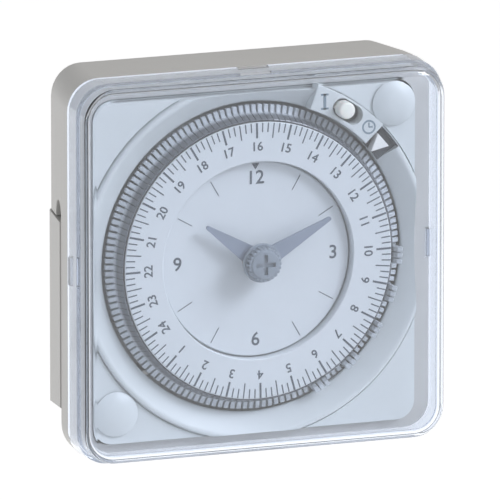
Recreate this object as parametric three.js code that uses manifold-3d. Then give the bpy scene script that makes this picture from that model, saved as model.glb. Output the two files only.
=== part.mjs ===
// Analogue 24-hour programmable timer for heating, 72 x 72 mm, shown as an assembly of its pieces.
// Millimetres. X runs to the right and Z up when facing the dial; the depth runs along Y, away from
// the person facing it. Depths below are counted from the dial's printed face, backwards positive.
import * as THREE from 'three';
import { mergeVertices } from 'three/addons/utils/BufferGeometryUtils.js';
import Module from 'manifold-3d';

const wasm = await Module();
wasm.setup();

// ---- driving dimensions ----
const FACE_SIZE = 72;            // front outline of the case and of the clear cover
const CORNER_RADIUS = 6;
const COVER_FRONT = -5.4;        // depth of the clear cover's outer front
const CASE_FRONT = 3.6;          // depth where the cover meets the case
const RIM_BACK = 8.6;            // the full-size rim of the case ends here
const CASE_BACK = 21;            // rear of the movement part of the case
const WALL_FACE = 38;            // rear of the mounting foot, the plane of the wall
const CASE_SIDE_TAPER = 2.6;
const CASE_TOP_TAPER = 0.4;
const CASE_WALL = 1.8;
const COVER_WALL = 1.1;
const COVER_DRAFT = 0.8;
const GAP = 0.3;                 // between pieces that touch

// Front plate inside the cover: a little taller than wide, and set low.
const PLATE = { width: 63.2, height: 64.2, middle: -0.9, corner: 3.6 };
const PLATE_FRONT = 2.2;
const PLATE_BACK = 3.4;
const RING_OUTER = 34.2;         // raised ring around the dial well
const RING_CREST = 1.3;
const WELL_RADIUS = 29.4;

const DIAL_RADIUS = 26.2;
const DIAL_INNER = 18.7;
const FACE_RADIUS = 18.35;       // fixed 12-hour face, sunk in the dial
const FACE_DEPTH = 1.8;
const HOURS = 24;
const TAPPETS_PER_HOUR = 6;
const TAPPET_COUNT = HOURS * TAPPETS_PER_HOUR;
const TAPPETS_PER_SET = 3;       // one half hour
const DIAL_TURN = -0.8;          // degrees from straight up to the mark of hour 16
const HOUR_AT_TOP = 16;
const SET_HOURS = [10, 9, 8, 7, 6];
const TAPPET_PIVOT = [26.95, 4.15];
const TAPPET_SWUNG = 34;         // degrees that a set tappet leans outwards

const MINUTE_ANGLE = 62;         // hands at about ten past ten, clockwise from straight up
const HOUR_ANGLE = 305.2;

const FIXING_PLACE = 27.3;       // the two diagonal fixing screws
const CONTROL_RADIUS = 32.1;     // where the override slider and its marks lie
const SLIDER_ANGLE = 33.6;
const SLIDER_TRAVEL = 2.6;
const SLOT_WIDTH = 3.6;
const PLATEAU_SPAN = [20.4, 46.4];   // degrees; raised part of the ring around the slider
const RECESS_SPAN = [46.6, 55.6];      // degrees; sunk part that holds the time pointer
const RECESS_FLOOR = PLATE_BACK - 0.6;
const POINTER_ANGLE = 50.6;
const POINTER = { tip: 29.3, base: 32.2, halfWidth: 1.6 };

const TERMINAL_COUNT = 5;
const TERMINAL_PITCH = 10.5;

// Gears: teeth and module. Centre distances follow from them.
const CANNON = { teeth: 12, module: 0.45 };
const MOTION = { teeth: 36, module: 0.45 };
const MOTION_PINION = { teeth: 10, module: 0.432 };
const HOUR_WHEEL = { teeth: 40, module: 0.432 };
const HOUR_DRIVER = { teeth: 24, module: 0.5 };
const DAY_WHEEL = { teeth: 24, module: 0.5 };
const DAY_PINION = { teeth: 16, module: 0.5 };
const DIAL_GEAR = { teeth: 32, module: 0.5 };
const CENTRE_WHEEL = { teeth: 48, module: 0.4 };
const DRIVE_PINION = { teeth: 24, module: 0.4 };

// ---- helpers ----
const radians = (degrees) => degrees * Math.PI / 180;
const pitchRadius = (gear) => gear.teeth * gear.module / 2;
const centreDistance = (one, other) => pitchRadius(one) + pitchRadius(other);
const around = (angle, radius) => [radius * Math.sin(radians(angle)), radius * Math.cos(radians(angle))];

function signedVolume(position, index) {
  const [a, b, c] = [new THREE.Vector3(), new THREE.Vector3(), new THREE.Vector3()];
  let total = 0;
  for (let i = 0; i < index.length; i += 3) {
    a.fromBufferAttribute(position, index[i]);
    b.fromBufferAttribute(position, index[i + 1]);
    c.fromBufferAttribute(position, index[i + 2]);
    total += a.dot(b.cross(c));
  }
  return total;
}

function solid(geometry) {
  const bare = geometry.clone();
  bare.deleteAttribute('normal');
  bare.deleteAttribute('uv');
  const merged = mergeVertices(bare, 1e-4);
  const position = merged.getAttribute('position');
  const kept = [];
  const index = merged.index.array;
  for (let i = 0; i < index.length; i += 3) {
    const [a, b, c] = [index[i], index[i + 1], index[i + 2]];
    if (a !== b && b !== c && a !== c) kept.push(a, b, c);
  }
  if (signedVolume(position, kept) < 0) kept.reverse();
  return new wasm.Manifold(new wasm.Mesh({
    numProp: 3,
    vertProperties: new Float32Array(position.array),
    triVerts: new Uint32Array(kept),
  }));
}

function geometryOf(body) {
  const mesh = body.getMesh();
  const geometry = new THREE.BufferGeometry();
  geometry.setAttribute('position', new THREE.BufferAttribute(new Float32Array(mesh.vertProperties), 3));
  geometry.setIndex(new THREE.BufferAttribute(new Uint32Array(mesh.triVerts), 1));
  geometry.computeVertexNormals();
  return geometry;
}

const joined = (bodies) => bodies.reduce((whole, body) => whole.add(body));
const cut = (body, tools) => tools.reduce((left, tool) => left.subtract(tool), body);

// A box given by its low and high corners.
function box(low, high) {
  const size = low.map((value, i) => high[i] - value);
  const geometry = new THREE.BoxGeometry(...size);
  geometry.translate(...low.map((value, i) => value + size[i] / 2));
  return solid(geometry);
}

// A flat outline in X and Z, drawn out from one depth to another.
function slab(outline, front, back, options = {}) {
  const geometry = new THREE.ExtrudeGeometry(outline, {
    depth: back - front, bevelEnabled: false, curveSegments: options.segments ?? 6,
  });
  geometry.rotateX(Math.PI / 2);
  geometry.translate(0, back, 0);
  return solid(geometry);
}

function roundedRectangle(width, height, radius, x = 0, z = 0) {
  const [w, h] = [width / 2, height / 2];
  const shape = new THREE.Shape();
  shape.moveTo(x - w + radius, z - h);
  shape.lineTo(x + w - radius, z - h);
  shape.absarc(x + w - radius, z - h + radius, radius, -Math.PI / 2, 0);
  shape.lineTo(x + w, z + h - radius);
  shape.absarc(x + w - radius, z + h - radius, radius, 0, Math.PI / 2);
  shape.lineTo(x - w + radius, z + h);
  shape.absarc(x - w + radius, z + h - radius, radius, Math.PI / 2, Math.PI);
  shape.lineTo(x - w, z - h + radius);
  shape.absarc(x - w + radius, z - h + radius, radius, Math.PI, Math.PI * 1.5);
  return shape;
}

// The front plate's outline, grown or shrunk all round.
function plateOutline(grown) {
  const { width, height, corner, middle } = PLATE;
  return roundedRectangle(width + 2 * grown, height + 2 * grown, corner + grown, 0, middle);
}

// A rounded rectangle drawn through stations of [depth, inset across, inset up and down].
function shell(width, height, radius, stations) {
  const geometry = new THREE.ExtrudeGeometry(roundedRectangle(width, height, radius), {
    depth: stations.length - 1, steps: stations.length - 1, bevelEnabled: false, curveSegments: 4,
  });
  const position = geometry.getAttribute('position');
  for (let i = 0; i < position.count; i += 1) {
    const [depth, across, upright] = stations[Math.round(position.getZ(i))];
    const x = position.getX(i) * (1 - 2 * across / width);
    const z = position.getY(i) * (1 - 2 * upright / height);
    position.setXYZ(i, x, depth, z);
  }
  return solid(geometry);
}

// Turned about the depth axis; the profile is a list of [radius, depth] that closes on itself.
function turned(profile, segments = 24, x = 0, z = 0) {
  const points = [...profile, profile[0]].map(([r, depth]) => new THREE.Vector2(r, depth));
  const geometry = new THREE.LatheGeometry(points, segments);
  geometry.translate(x, 0, z);
  return solid(geometry);
}

function rod(radius, front, back, x = 0, z = 0, segments = 14) {
  return turned([[0, front], [radius, front], [radius, back], [0, back]], segments, x, z);
}

// A round bar along X, centred at a depth and height.
function bar(radius, left, right, depth, z, segments = 16) {
  const geometry = new THREE.CylinderGeometry(radius, radius, right - left, segments);
  geometry.rotateZ(Math.PI / 2);
  geometry.translate((left + right) / 2, depth, z);
  return solid(geometry);
}

// Turns a body clockwise, seen from the front, about the dial's axis or another one.
function swung(body, angle, x = 0, z = 0) {
  return body.translate(-x, 0, -z).rotate(0, angle, 0).translate(x, 0, z);
}

// Plain pointed teeth with room at the tips, thinner than half a pitch for backlash.
function gear({ teeth, module }, front, back, firstTooth = 0) {
  const pitch = teeth * module / 2;
  const [root, tip] = [pitch - 1.15 * module, pitch + 0.85 * module];
  const step = 360 / teeth;
  const shape = new THREE.Shape();
  for (let i = 0; i < teeth; i += 1) {
    const middle = firstTooth + i * step;
    const corners = [[-0.3, root], [0, tip], [0.3, root]];
    corners.forEach(([part, radius], corner) => {
      const [x, z] = around(middle + part * step, radius);
      if (i + corner === 0) shape.moveTo(x, z);
      else shape.lineTo(x, z);
    });
  }
  shape.closePath();
  return slab(shape, front, back);
}

const group = new THREE.Group();
group.position.y = -(COVER_FRONT + WALL_FACE) / 2;

function piece(name, body, { color, roughness = 0.5, metalness = 0, opacity = 1 }) {
  const material = new THREE.MeshStandardMaterial({
    color, roughness, metalness, opacity, transparent: opacity < 1,
  });
  const mesh = new THREE.Mesh(geometryOf(body), material);
  mesh.name = name;
  group.add(mesh);
}

const GREY_CASE = { color: '#b9b7b5', roughness: 0.55 };
const PALE_PLATE = { color: '#d7dee4', roughness: 0.4 };
const WHITE_DIAL = { color: '#dfe4e8', roughness: 0.45 };
const CLEAR = { color: '#dce6f2', roughness: 0.05, opacity: 0.35 };
const SMOKED = { color: '#b9c0c4', roughness: 0.3 };
const STEEL = { color: '#c2c4c6', roughness: 0.3, metalness: 1 };
const BRASS = { color: '#c9a860', roughness: 0.3, metalness: 1 };
const NYLON = { color: '#ece9df', roughness: 0.5 };

// ---- case, clear cover and rear foot ----
const half = FACE_SIZE / 2;
const TERMINAL_TOP = 8.4;        // upper edge of the terminal cover's side wings
const LOWER_FLOOR = -13;         // the case's rear part ends here, above the terminals
const WING = 1.4;                // wall of the terminal cover
const HOOK = { place: 34.8, halfWidth: 0.4, halfHeight: 2.6, below: 2.4 };   // the clear cover's snap hooks
const SCREW_BORE = 1.7;          // clears a screw's shank
const FOOT_SCREWS = [-16, 16];
const FOOT_SCREW_HEIGHT = 10;

// The case's outside, or the same shape drawn in by some millimetres.
function caseForm(inset, back = CASE_BACK) {
  const [side, top] = [CASE_SIDE_TAPER + inset, CASE_TOP_TAPER + inset];
  return shell(FACE_SIZE, FACE_SIZE, CORNER_RADIUS, [
    [CASE_FRONT, inset, inset], [RIM_BACK, 0.5 + inset, 0.05 + inset],
    [back - 2, side - 0.3, top], [back - 0.6, side + 0.5, top + 0.8], [back, side + 2, top + 2],
  ]);
}

function caseBody() {
  const lowerRear = box([-half, RIM_BACK, -half], [half, CASE_BACK + 1, LOWER_FLOOR]);
  const wingRecess = box([-half - 1, RIM_BACK, LOWER_FLOOR - 1], [half + 1, CASE_BACK + 1, TERMINAL_TOP])
    .subtract(caseForm(WING + GAP, CASE_BACK + 0.01));
  const inner = half - CASE_SIDE_TAPER - WING - CASE_WALL;
  const frontCavity = slab(plateOutline(0.4), CASE_FRONT - 1, RIM_BACK - 1.4);
  const rearCavity = box([-inner, RIM_BACK - 2, LOWER_FLOOR + CASE_WALL],
    [inner, CASE_BACK - CASE_WALL, half - CASE_TOP_TAPER - 2 - CASE_WALL]);
  const boss = rod(3, RIM_BACK - 1.2, CASE_BACK - 1, FIXING_PLACE, FIXING_PLACE);
  const screwBores = [rod(SCREW_BORE, RIM_BACK - 3, CASE_BACK - 4, FIXING_PLACE, FIXING_PLACE),
    rod(SCREW_BORE, RIM_BACK - 3, RIM_BACK + 1, -FIXING_PLACE, -FIXING_PLACE)];
  const latchWindows = [-1, 1].map((side) => (
    bar(2.6, side * half - 8, side * half + 8, RIM_BACK + 2.4, TERMINAL_TOP + 0.9)));
  const footBores = FOOT_SCREWS.map((x) => rod(1.6, CASE_BACK - 1.2, CASE_BACK + 1, x, FOOT_SCREW_HEIGHT));
  const wireWays = terminalPlaces().map((x) => box([x - 2, RIM_BACK - 2.5, -23], [x + 2, RIM_BACK + 1, -19]));
  return cut(cut(caseForm(0), [lowerRear, wingRecess, frontCavity, rearCavity]).add(boss),
    [...screwBores, ...latchWindows, ...footBores, ...wireWays, ...hookSlots()]);
}

function terminalPlaces() {
  return Array.from({ length: TERMINAL_COUNT }, (_, i) => (i - (TERMINAL_COUNT - 1) / 2) * TERMINAL_PITCH);
}

function clearCover() {
  const wall = COVER_WALL;
  const rounding = [[0, 1.6], [0.25, 0.75], [0.8, 0.2], [1.5, 0]];
  const outer = shell(FACE_SIZE, FACE_SIZE, CORNER_RADIUS, [
    ...rounding.map(([depth, inset]) => [COVER_FRONT + depth, COVER_DRAFT + inset, COVER_DRAFT + inset]),
    [CASE_FRONT - GAP, 0, 0],
  ]);
  const inner = shell(FACE_SIZE - 2 * wall, FACE_SIZE - 2 * wall, CORNER_RADIUS - wall, [
    ...rounding.map(([depth, inset]) => [
      COVER_FRONT + wall + depth, COVER_DRAFT + inset, COVER_DRAFT + inset]),
    [CASE_FRONT + 1, 0, 0],
  ]);
  const pryNotch = box([-3, CASE_FRONT - 1.3, half - 1.6], [3, CASE_FRONT, half + 1]);
  const hooks = [-1, 1].map((side) => hookBox(side, 0, CASE_FRONT - 2, CASE_FRONT + HOOK.below));
  return joined([cut(outer, [inner, pryNotch]), ...hooks]);
}

// One snap hook, or with some room around it the slot that it goes into.
function hookBox(side, room, front, back) {
  const [across, upright] = [HOOK.halfWidth + room, HOOK.halfHeight + room];
  return box([side * HOOK.place - across, front, -upright], [side * HOOK.place + across, back, upright]);
}

function hookSlots() {
  return [-1, 1].map((side) => hookBox(side, GAP, CASE_FRONT - 1, CASE_FRONT + HOOK.below + GAP));
}

piece('case', caseBody(), GREY_CASE);
piece('clear_cover', clearCover(), CLEAR);

// The foot behind the case takes a 35 mm top-hat rail: a fixed lip above, a sliding clip below.
const FOOT = { width: 46, height: 52, middle: 3 };
const RAIL_CENTRE = 4;
const RAIL_HALF = 17.8;
const LIP_HALF = 16.6;
const FLANGE_FRONT = 30.2;
const FLANGE_BACK = 31.8;

function railFoot() {
  const body = slab(roundedRectangle(FOOT.width, FOOT.height, 2, 0, FOOT.middle), CASE_BACK + GAP, WALL_FACE);
  const groove = box([-30, FLANGE_FRONT, RAIL_CENTRE - LIP_HALF], [30, WALL_FACE + 1, RAIL_CENTRE + LIP_HALF]);
  const upperUndercut = box([-30, FLANGE_FRONT, RAIL_CENTRE],
    [30, FLANGE_BACK, RAIL_CENTRE + RAIL_HALF]);
  const clipWay = box([-7.4, FLANGE_FRONT - 2.6, -40], [7.4, WALL_FACE - 2, RAIL_CENTRE - LIP_HALF + 1]);
  const lowerUndercut = box([-30, FLANGE_FRONT, RAIL_CENTRE - RAIL_HALF], [30, FLANGE_BACK, RAIL_CENTRE]);
  const hollow = box([-18, CASE_BACK, -10], [18, FLANGE_FRONT - 4.4, 6]);
  const screwWays = FOOT_SCREWS.flatMap((x) => [rod(1.8, CASE_BACK, FLANGE_FRONT, x, FOOT_SCREW_HEIGHT),
    rod(3, FLANGE_FRONT - 2.4, FLANGE_FRONT + 1, x, FOOT_SCREW_HEIGHT)]);
  return cut(body, [groove, upperUndercut, lowerUndercut, clipWay, hollow, ...screwWays]);
}

function railClip() {
  const lip = RAIL_CENTRE - LIP_HALF;
  const runner = box([-7, FLANGE_FRONT - 2.2, -25.5], [7, FLANGE_FRONT - 0.4, lip + 0.6]);
  const hook = box([-7, FLANGE_BACK + 0.2, lip - 6], [7, WALL_FACE - 2.4, lip + 0.6]);
  const neck = box([-7, FLANGE_FRONT - 1, lip - 6], [7, WALL_FACE - 3, lip - 1.9]);
  const tab = box([-5, FLANGE_FRONT - 2.2, -28.5], [5, FLANGE_FRONT + 1.6, -25]);
  const pryHole = box([-2.6, FLANGE_FRONT - 3, -27.7], [2.6, FLANGE_FRONT + 3, -26]);
  return cut(joined([runner, hook, neck, tab]), [pryHole]);
}

function screw(x, z, head, length, { headRadius = 2.5, headDepth = 1.6, radius = 1.35 } = {}) {
  const body = turned([[0, head], [headRadius, head], [headRadius, head + headDepth],
    [radius, head + headDepth], [radius, head + length], [0, head + length]], 18, x, z);
  return cut(body, [box([x - 2 * headRadius, head - 1, z - 0.3], [x + 2 * headRadius, head + 0.6, z + 0.3])]);
}

piece('rail_foot', railFoot(), GREY_CASE);
piece('rail_clip', railClip(), NYLON);
['left', 'right'].forEach((name, i) => {
  const fromBehind = screw(0, 0, 0, 9.6, { headRadius: 2.6 }).rotate(180, 0, 0);
  piece(`foot_screw_${name}`, fromBehind.translate(FOOT_SCREWS[i], FLANGE_FRONT - 0.3, FOOT_SCREW_HEIGHT), STEEL);
});

// ---- terminals below the case, and the cover that hides them ----
const BLOCK = { half: 29, front: RIM_BACK + GAP, back: 19.2, top: LOWER_FLOOR - GAP, bottom: -28.6 };
const CLAMP_MIDDLE = 14;

const COVER_SCREW = [27, -21];

function terminalBlock() {
  const body = box([-BLOCK.half, BLOCK.front, BLOCK.bottom], [BLOCK.half, BLOCK.back, BLOCK.top]);
  const pockets = terminalPlaces().flatMap((x) => [
    box([x - 3.9, CLAMP_MIDDLE - 3.4, BLOCK.bottom - 1], [x + 3.9, CLAMP_MIDDLE + 3.4, BLOCK.top - 3]),
    box([x - 2.2, BLOCK.front - 1, -23.2], [x + 2.2, CLAMP_MIDDLE, -18.8]),
    rod(2.6, CLAMP_MIDDLE, BLOCK.back + 1, x, -22),
  ]);
  return cut(body, [...pockets, rod(SCREW_BORE, BLOCK.front + 2, BLOCK.back + 1, ...COVER_SCREW)]);
}

function terminalClamp(x) {
  const cage = box([x - 3.5, CLAMP_MIDDLE - 3, -26.4], [x + 3.5, CLAMP_MIDDLE + 3, -17.6]);
  const wireWay = box([x - 2.5, CLAMP_MIDDLE - 2, -28], [x + 2.5, CLAMP_MIDDLE + 1.4, -18.6]);
  const thread = rod(1.7, CLAMP_MIDDLE, CLAMP_MIDDLE + 4, x, -22);
  const tail = box([x - 1.6, BLOCK.front - 2.4, -21.4], [x + 1.6, CLAMP_MIDDLE - 2.6, -20.6]);
  return cut(cage, [wireWay, thread]).add(tail);
}

piece('terminal_block', terminalBlock(), { color: '#8d9092', roughness: 0.6 });
terminalPlaces().forEach((x, i) => {
  piece(`terminal_clamp_${i + 1}`, terminalClamp(x), BRASS);
  const clampScrew = screw(0, 0, 0, 5.6, { headRadius: 2.2, headDepth: 1.4, radius: 1.4 }).rotate(180, 0, 0);
  piece(`terminal_screw_${i + 1}`, clampScrew.translate(x, BLOCK.back - 0.6, -22), STEEL);
});

const COVER_BOTTOM = -31.4;

function terminalCover() {
  const region = slab(coverOutline(half, COVER_BOTTOM, TERMINAL_TOP - GAP, 7), RIM_BACK + GAP, CASE_BACK + 1);
  const outside = shell(FACE_SIZE + 0.4, FACE_SIZE, CORNER_RADIUS, [
    [RIM_BACK, 0.5, 0], [CASE_BACK - 1.6, CASE_SIDE_TAPER - 0.3, 0], [CASE_BACK - 0.2, CASE_SIDE_TAPER + 0.5, 0.8],
    [CASE_BACK + 0.3, CASE_SIDE_TAPER + 1.8, 2]]).intersect(region);
  const hollow = caseForm(WING, CASE_BACK + 0.01).intersect(
    slab(coverOutline(half, COVER_BOTTOM + WING, half, 7.4), CASE_FRONT, CASE_BACK - WING));
  const openBack = box([-half + CASE_SIDE_TAPER + WING, CASE_BACK - 3, LOWER_FLOOR - 2],
    [half - CASE_SIDE_TAPER - WING, CASE_BACK + 1, half]);
  const wireWays = terminalPlaces().map((x) => box([x - 3, RIM_BACK + 1.8, COVER_BOTTOM - 1],
    [x + 3, CLAMP_MIDDLE + 2.4, COVER_BOTTOM + 2]));
  // Open at its top, so that the cover drops off its loosened screw.
  const [screwX, screwZ] = COVER_SCREW;
  const [slotFront, slotBack] = [CASE_BACK - 3, CASE_BACK + 1];
  const screwSlot = rod(SCREW_BORE, slotFront, slotBack, screwX, screwZ).add(
    box([screwX - SCREW_BORE, slotFront, screwZ], [screwX + SCREW_BORE, slotBack, LOWER_FLOOR]));
  return cut(outside, [hollow, openBack, ...wireWays, screwSlot]);
}

function coverOutline(side, bottom, top, across) {
  const up = across * 0.66;
  const shape = new THREE.Shape();
  shape.moveTo(-side + across, bottom);
  shape.lineTo(side - across, bottom);
  shape.lineTo(side, bottom + up);
  shape.lineTo(side, top);
  shape.lineTo(-side, top);
  shape.lineTo(-side, bottom + up);
  shape.closePath();
  return shape;
}

piece('terminal_cover', terminalCover(), GREY_CASE);
piece('terminal_cover_screw', screw(0, 0, 0, 10, { headRadius: 2.3, headDepth: 1.3 }).rotate(180, 0, 0)
  .translate(COVER_SCREW[0], CASE_BACK + 2, COVER_SCREW[1]), STEEL);

// ---- front plate, its screw caps, time pointer and override slider ----
function sector(inner, outer, from, to, front, back) {
  const shape = new THREE.Shape();
  const turn = (angle) => Math.PI / 2 - radians(angle);
  shape.absarc(0, 0, outer, turn(from), turn(to), true);
  shape.absarc(0, 0, inner, turn(to), turn(from), false);
  shape.closePath();
  return slab(shape, front, back, { segments: 10 });
}

function slotOutline() {
  return roundedRectangle(SLOT_WIDTH + SLIDER_TRAVEL + 0.2, SLOT_WIDTH, SLOT_WIDTH / 2 - 0.01, 0, CONTROL_RADIUS);
}

function frontPlate() {
  const outline = slab(plateOutline(0), PLATE_FRONT, PLATE_BACK);
  const raised = turned([[RING_OUTER, PLATE_BACK], [RING_OUTER, PLATE_FRONT], [RING_OUTER - 0.3, RING_CREST + 0.1],
    [RING_OUTER - 0.8, RING_CREST], [33, RING_CREST], [WELL_RADIUS + 0.1, PLATE_BACK - 0.2],
    [WELL_RADIUS, PLATE_BACK + 0.6], [WELL_RADIUS + 1, PLATE_BACK + 0.6], [WELL_RADIUS + 1.4, PLATE_BACK]], 48);
  const trim = slab(plateOutline(0), RING_CREST - 1, PLATE_BACK + 2);
  const well = rod(WELL_RADIUS + 0.6, PLATE_FRONT - 0.5, PLATE_BACK + 0.1, 0, 0, 48);
  const plateau = sector(WELL_RADIUS + 0.1, RING_OUTER + 0.1, ...PLATEAU_SPAN, RING_CREST - 0.7, PLATE_BACK);
  const recess = sector(WELL_RADIUS - 1, RING_OUTER - 0.2, ...RECESS_SPAN, RING_CREST - 2, RECESS_FLOOR);
  const slot = swung(slab(slotOutline(), RING_CREST - 2, PLATE_BACK + 1), SLIDER_ANGLE);
  const skirt = cut(slab(plateOutline(0), PLATE_FRONT + 0.2, RIM_BACK - 2.6),
    [slab(plateOutline(-1), PLATE_FRONT - 1, RIM_BACK)]);
  const capBores = [1, -1].map((side) => rod(2.9, RING_CREST - 2, PLATE_BACK + 1,
    side * FIXING_PLACE, side * FIXING_PLACE));
  const raisedTrimmed = raised.intersect(trim);
  return cut(joined([cut(outline, [well]), raisedTrimmed, plateau, skirt]), [recess, slot, ...capBores]);
}

function screwCap(side) {
  const top = PLATE_FRONT - 1.5;
  const seat = PLATE_FRONT - GAP;
  return turned([[0, top], [1.6, top + 0.08], [3, top + 0.4], [3.9, top + 0.85], [4.2, seat],
    [2.5, seat], [2.5, PLATE_BACK], [0, PLATE_BACK]], 28, side * FIXING_PLACE, side * FIXING_PLACE);
}

piece('front_plate', frontPlate(), PALE_PLATE);
for (const [place, side] of [['upper_right', 1], ['lower_left', -1]]) {
  piece(`screw_cap_${place}`, screwCap(side), PALE_PLATE);
  piece(`fixing_screw_${place}`, screw(side * FIXING_PLACE, side * FIXING_PLACE, 4.4, side > 0 ? 11 : 3.9), STEEL);
}

function timePointer() {
  const shape = new THREE.Shape();
  shape.moveTo(0, POINTER.tip);
  shape.lineTo(POINTER.halfWidth, POINTER.base);
  shape.lineTo(-POINTER.halfWidth, POINTER.base);
  shape.closePath();
  return swung(slab(shape, RING_CREST - 0.9, RECESS_FLOOR - GAP), POINTER_ANGLE);
}

function overrideSlider() {
  const start = -SLIDER_TRAVEL / 2;
  const knob = turned([[0, -2.1], [1.25, -2.1], [1.6, -1.75], [1.6, 0.3], [0, 0.3]], 24, start, CONTROL_RADIUS);
  const stem = box([start - 1.4, 0, CONTROL_RADIUS - 0.8], [start + 1.4, 4.4, CONTROL_RADIUS + 0.8]);
  const foot = box([start - 3, 4.3, CONTROL_RADIUS - 0.8], [start + 3, 5.3, CONTROL_RADIUS + 0.9]);
  return swung(joined([knob, stem, foot]), SLIDER_ANGLE);
}

piece('time_pointer', timePointer(), { color: '#f4f2ec', roughness: 0.4 });
piece('override_slider', overrideSlider(), { color: '#f1eee0', roughness: 0.45 });

// ---- 24-hour dial with its tappets ----
const TAPPET_WIDTH = 0.84;
const CARRIER = { inner: 24, outer: 26.75, front: 4.75, back: 5.6 };

function programDial() {
  return turned([
    [DIAL_INNER, 0], [DIAL_RADIUS - 0.3, 0], [DIAL_RADIUS, 0.2], [25.55, 0.9], [25.3, 4.4], [24.3, 4.4], [24.3, 1],
    [19.7, 1], [19.7, 3.7], [6, 3.7], [6, 7.2], [4.3, 7.2], [4.3, 2.9], [DIAL_INNER, 2.9]], 48);
}

// Side views of a tappet as [radius, depth]: a steep blade beside the dial and a foot outside it.
const MOULDED_SIDE = [[26, 5], [26.3, 0.4], [27.55, 3.2], [28.8, 3.5], [28.8, 4.2], [26.6, 5]];
const TAPPET_SIDE = [[26, 4.3], [25.85, 1.1], [26.45, 0.3], [26.75, 0.5], [27.55, 3.1], [28.8, 3.5],
  [28.8, 4.1], [27.5, 4.6], [26.9, 4.7], [26.3, 4.7]];

function tappet(hourMark, side) {
  const shape = new THREE.Shape(side.map(([r, depth]) => new THREE.Vector2(r, depth)));
  const geometry = new THREE.ExtrudeGeometry(shape, { depth: TAPPET_WIDTH, bevelEnabled: false });
  geometry.translate(0, 0, -TAPPET_WIDTH / 2);
  geometry.rotateY(-Math.PI / 2);
  return swung(solid(geometry), (HOUR_AT_TOP - hourMark) * 360 / HOURS + DIAL_TURN);
}

const setMarks = SET_HOURS.flatMap((hour) => Array.from({ length: TAPPETS_PER_SET },
  (_, i) => hour - (i + 0.5) / TAPPETS_PER_HOUR));

function tappetRing() {
  const restMarks = Array.from({ length: TAPPET_COUNT }, (_, i) => (i + 0.5) / TAPPETS_PER_HOUR)
    .filter((mark) => !setMarks.some((taken) => Math.abs(taken - mark) < 0.01));
  const carrier = turned([[CARRIER.inner, CARRIER.front], [CARRIER.outer, CARRIER.front],
    [CARRIER.outer, CARRIER.back], [CARRIER.inner, CARRIER.back]], 48);
  return joined([carrier, wasm.Manifold.union(restMarks.map((mark) => tappet(mark, MOULDED_SIDE)))]);
}

// Three neighbouring tappets pushed out together, leaning away from the dial about their common pivot.
function tappetSet(hour) {
  const middle = (HOUR_AT_TOP - hour + TAPPETS_PER_SET / 2 / TAPPETS_PER_HOUR) * 360 / HOURS + DIAL_TURN;
  const [pivotRadius, pivotDepth] = TAPPET_PIVOT;
  const blades = setMarks.filter((mark) => mark < hour && mark > hour - 0.5)
    .map((mark) => tappet(mark, TAPPET_SIDE));
  const spindle = bar(0.32, -1.5, 1.5, pivotDepth, pivotRadius, 8);
  const upright = joined([...blades.map((blade) => swung(blade, -middle)), spindle]);
  const leaning = upright.translate(0, -pivotDepth, -pivotRadius).rotate(-TAPPET_SWUNG, 0, 0)
    .translate(0, pivotDepth, pivotRadius);
  return swung(leaning, middle);
}

piece('program_dial', programDial(), WHITE_DIAL);
piece('dial_gear', gear(DIAL_GEAR, 5.5, 6.9).subtract(rod(6.3, 5, 7.4)), NYLON);
piece('tappet_ring', tappetRing(), SMOKED);
SET_HOURS.forEach((hour) => piece(`tappet_set_${hour}_oclock`, tappetSet(hour), SMOKED));

// ---- 12-hour face, hands and setting knob ----
function clockFace() {
  return turned([[2.6, FACE_DEPTH], [FACE_RADIUS, FACE_DEPTH], [FACE_RADIUS, 2.6],
    [4, 2.6], [4, 7.9], [2.6, 7.9]], 48);
}

function hand(length, baseWidth, boss, bore, front, back, angle) {
  const shape = new THREE.Shape();
  shape.moveTo(-baseWidth / 2, 0);
  shape.lineTo(-0.35, length - 0.35);
  shape.absarc(0, length - 0.35, 0.35, Math.PI, 0, true);
  shape.lineTo(baseWidth / 2, 0);
  shape.closePath();
  const blade = slab(shape, front, back).add(rod(boss, front, back, 0, 0, 28));
  return swung(cut(blade, [rod(bore, front - 1, back + 1)]), angle);
}

function settingKnob() {
  const ribs = 24;
  const outline = new THREE.Shape();
  for (let i = 0; i < ribs * 2; i += 1) {
    const [x, z] = around(i * 180 / ribs, i % 2 ? 2.98 : 3.25);
    if (i === 0) outline.moveTo(x, z);
    else outline.lineTo(x, z);
  }
  outline.closePath();
  const grip = slab(outline, -3.6, -1.9);
  const collar = turned([[0, -1.9], [3.7, -1.9], [3.7, -1.5], [0, -1.5]]);
  const face = turned([[0, -3.9], [2.5, -3.9], [2.8, -3.5], [0, -3.5]]);
  const slots = [0, 90].map((angle) => swung(box([-0.4, -4.5, -1.9], [0.4, -3.4, 1.9]), angle));
  return cut(joined([grip, collar, face]), [...slots, rod(1.35, -2.9, 0)]);
}

piece('clock_face', clockFace(), WHITE_DIAL);
piece('hour_hand', hand(12.6, 4.2, 3.1, 2.5, -0.5, -0.05, HOUR_ANGLE), { color: '#8f98aa', roughness: 0.4 });
piece('minute_hand', hand(15.6, 4, 2.9, 1.35, -1.25, -0.8, MINUTE_ANGLE), { color: '#8f98aa', roughness: 0.4 });
piece('setting_knob', settingKnob(), { color: '#9aa6b2', roughness: 0.35 });

// ---- gear train between the frame plates ----
const FRAME = { front: 8.2, frontBack: 9.2, back: 17.2, backBack: 18.2 };
const HOUR_LAYER = 9.7;
const MOTION_LAYER = 12.4;
const CENTRE_LAYER = 14.4;
const dayPlace = [centreDistance(HOUR_DRIVER, DAY_WHEEL), 0];
const motionPlace = [0, centreDistance(CANNON, MOTION)];
const drivePlace = around(280, centreDistance(CENTRE_WHEEL, DRIVE_PINION));

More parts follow.
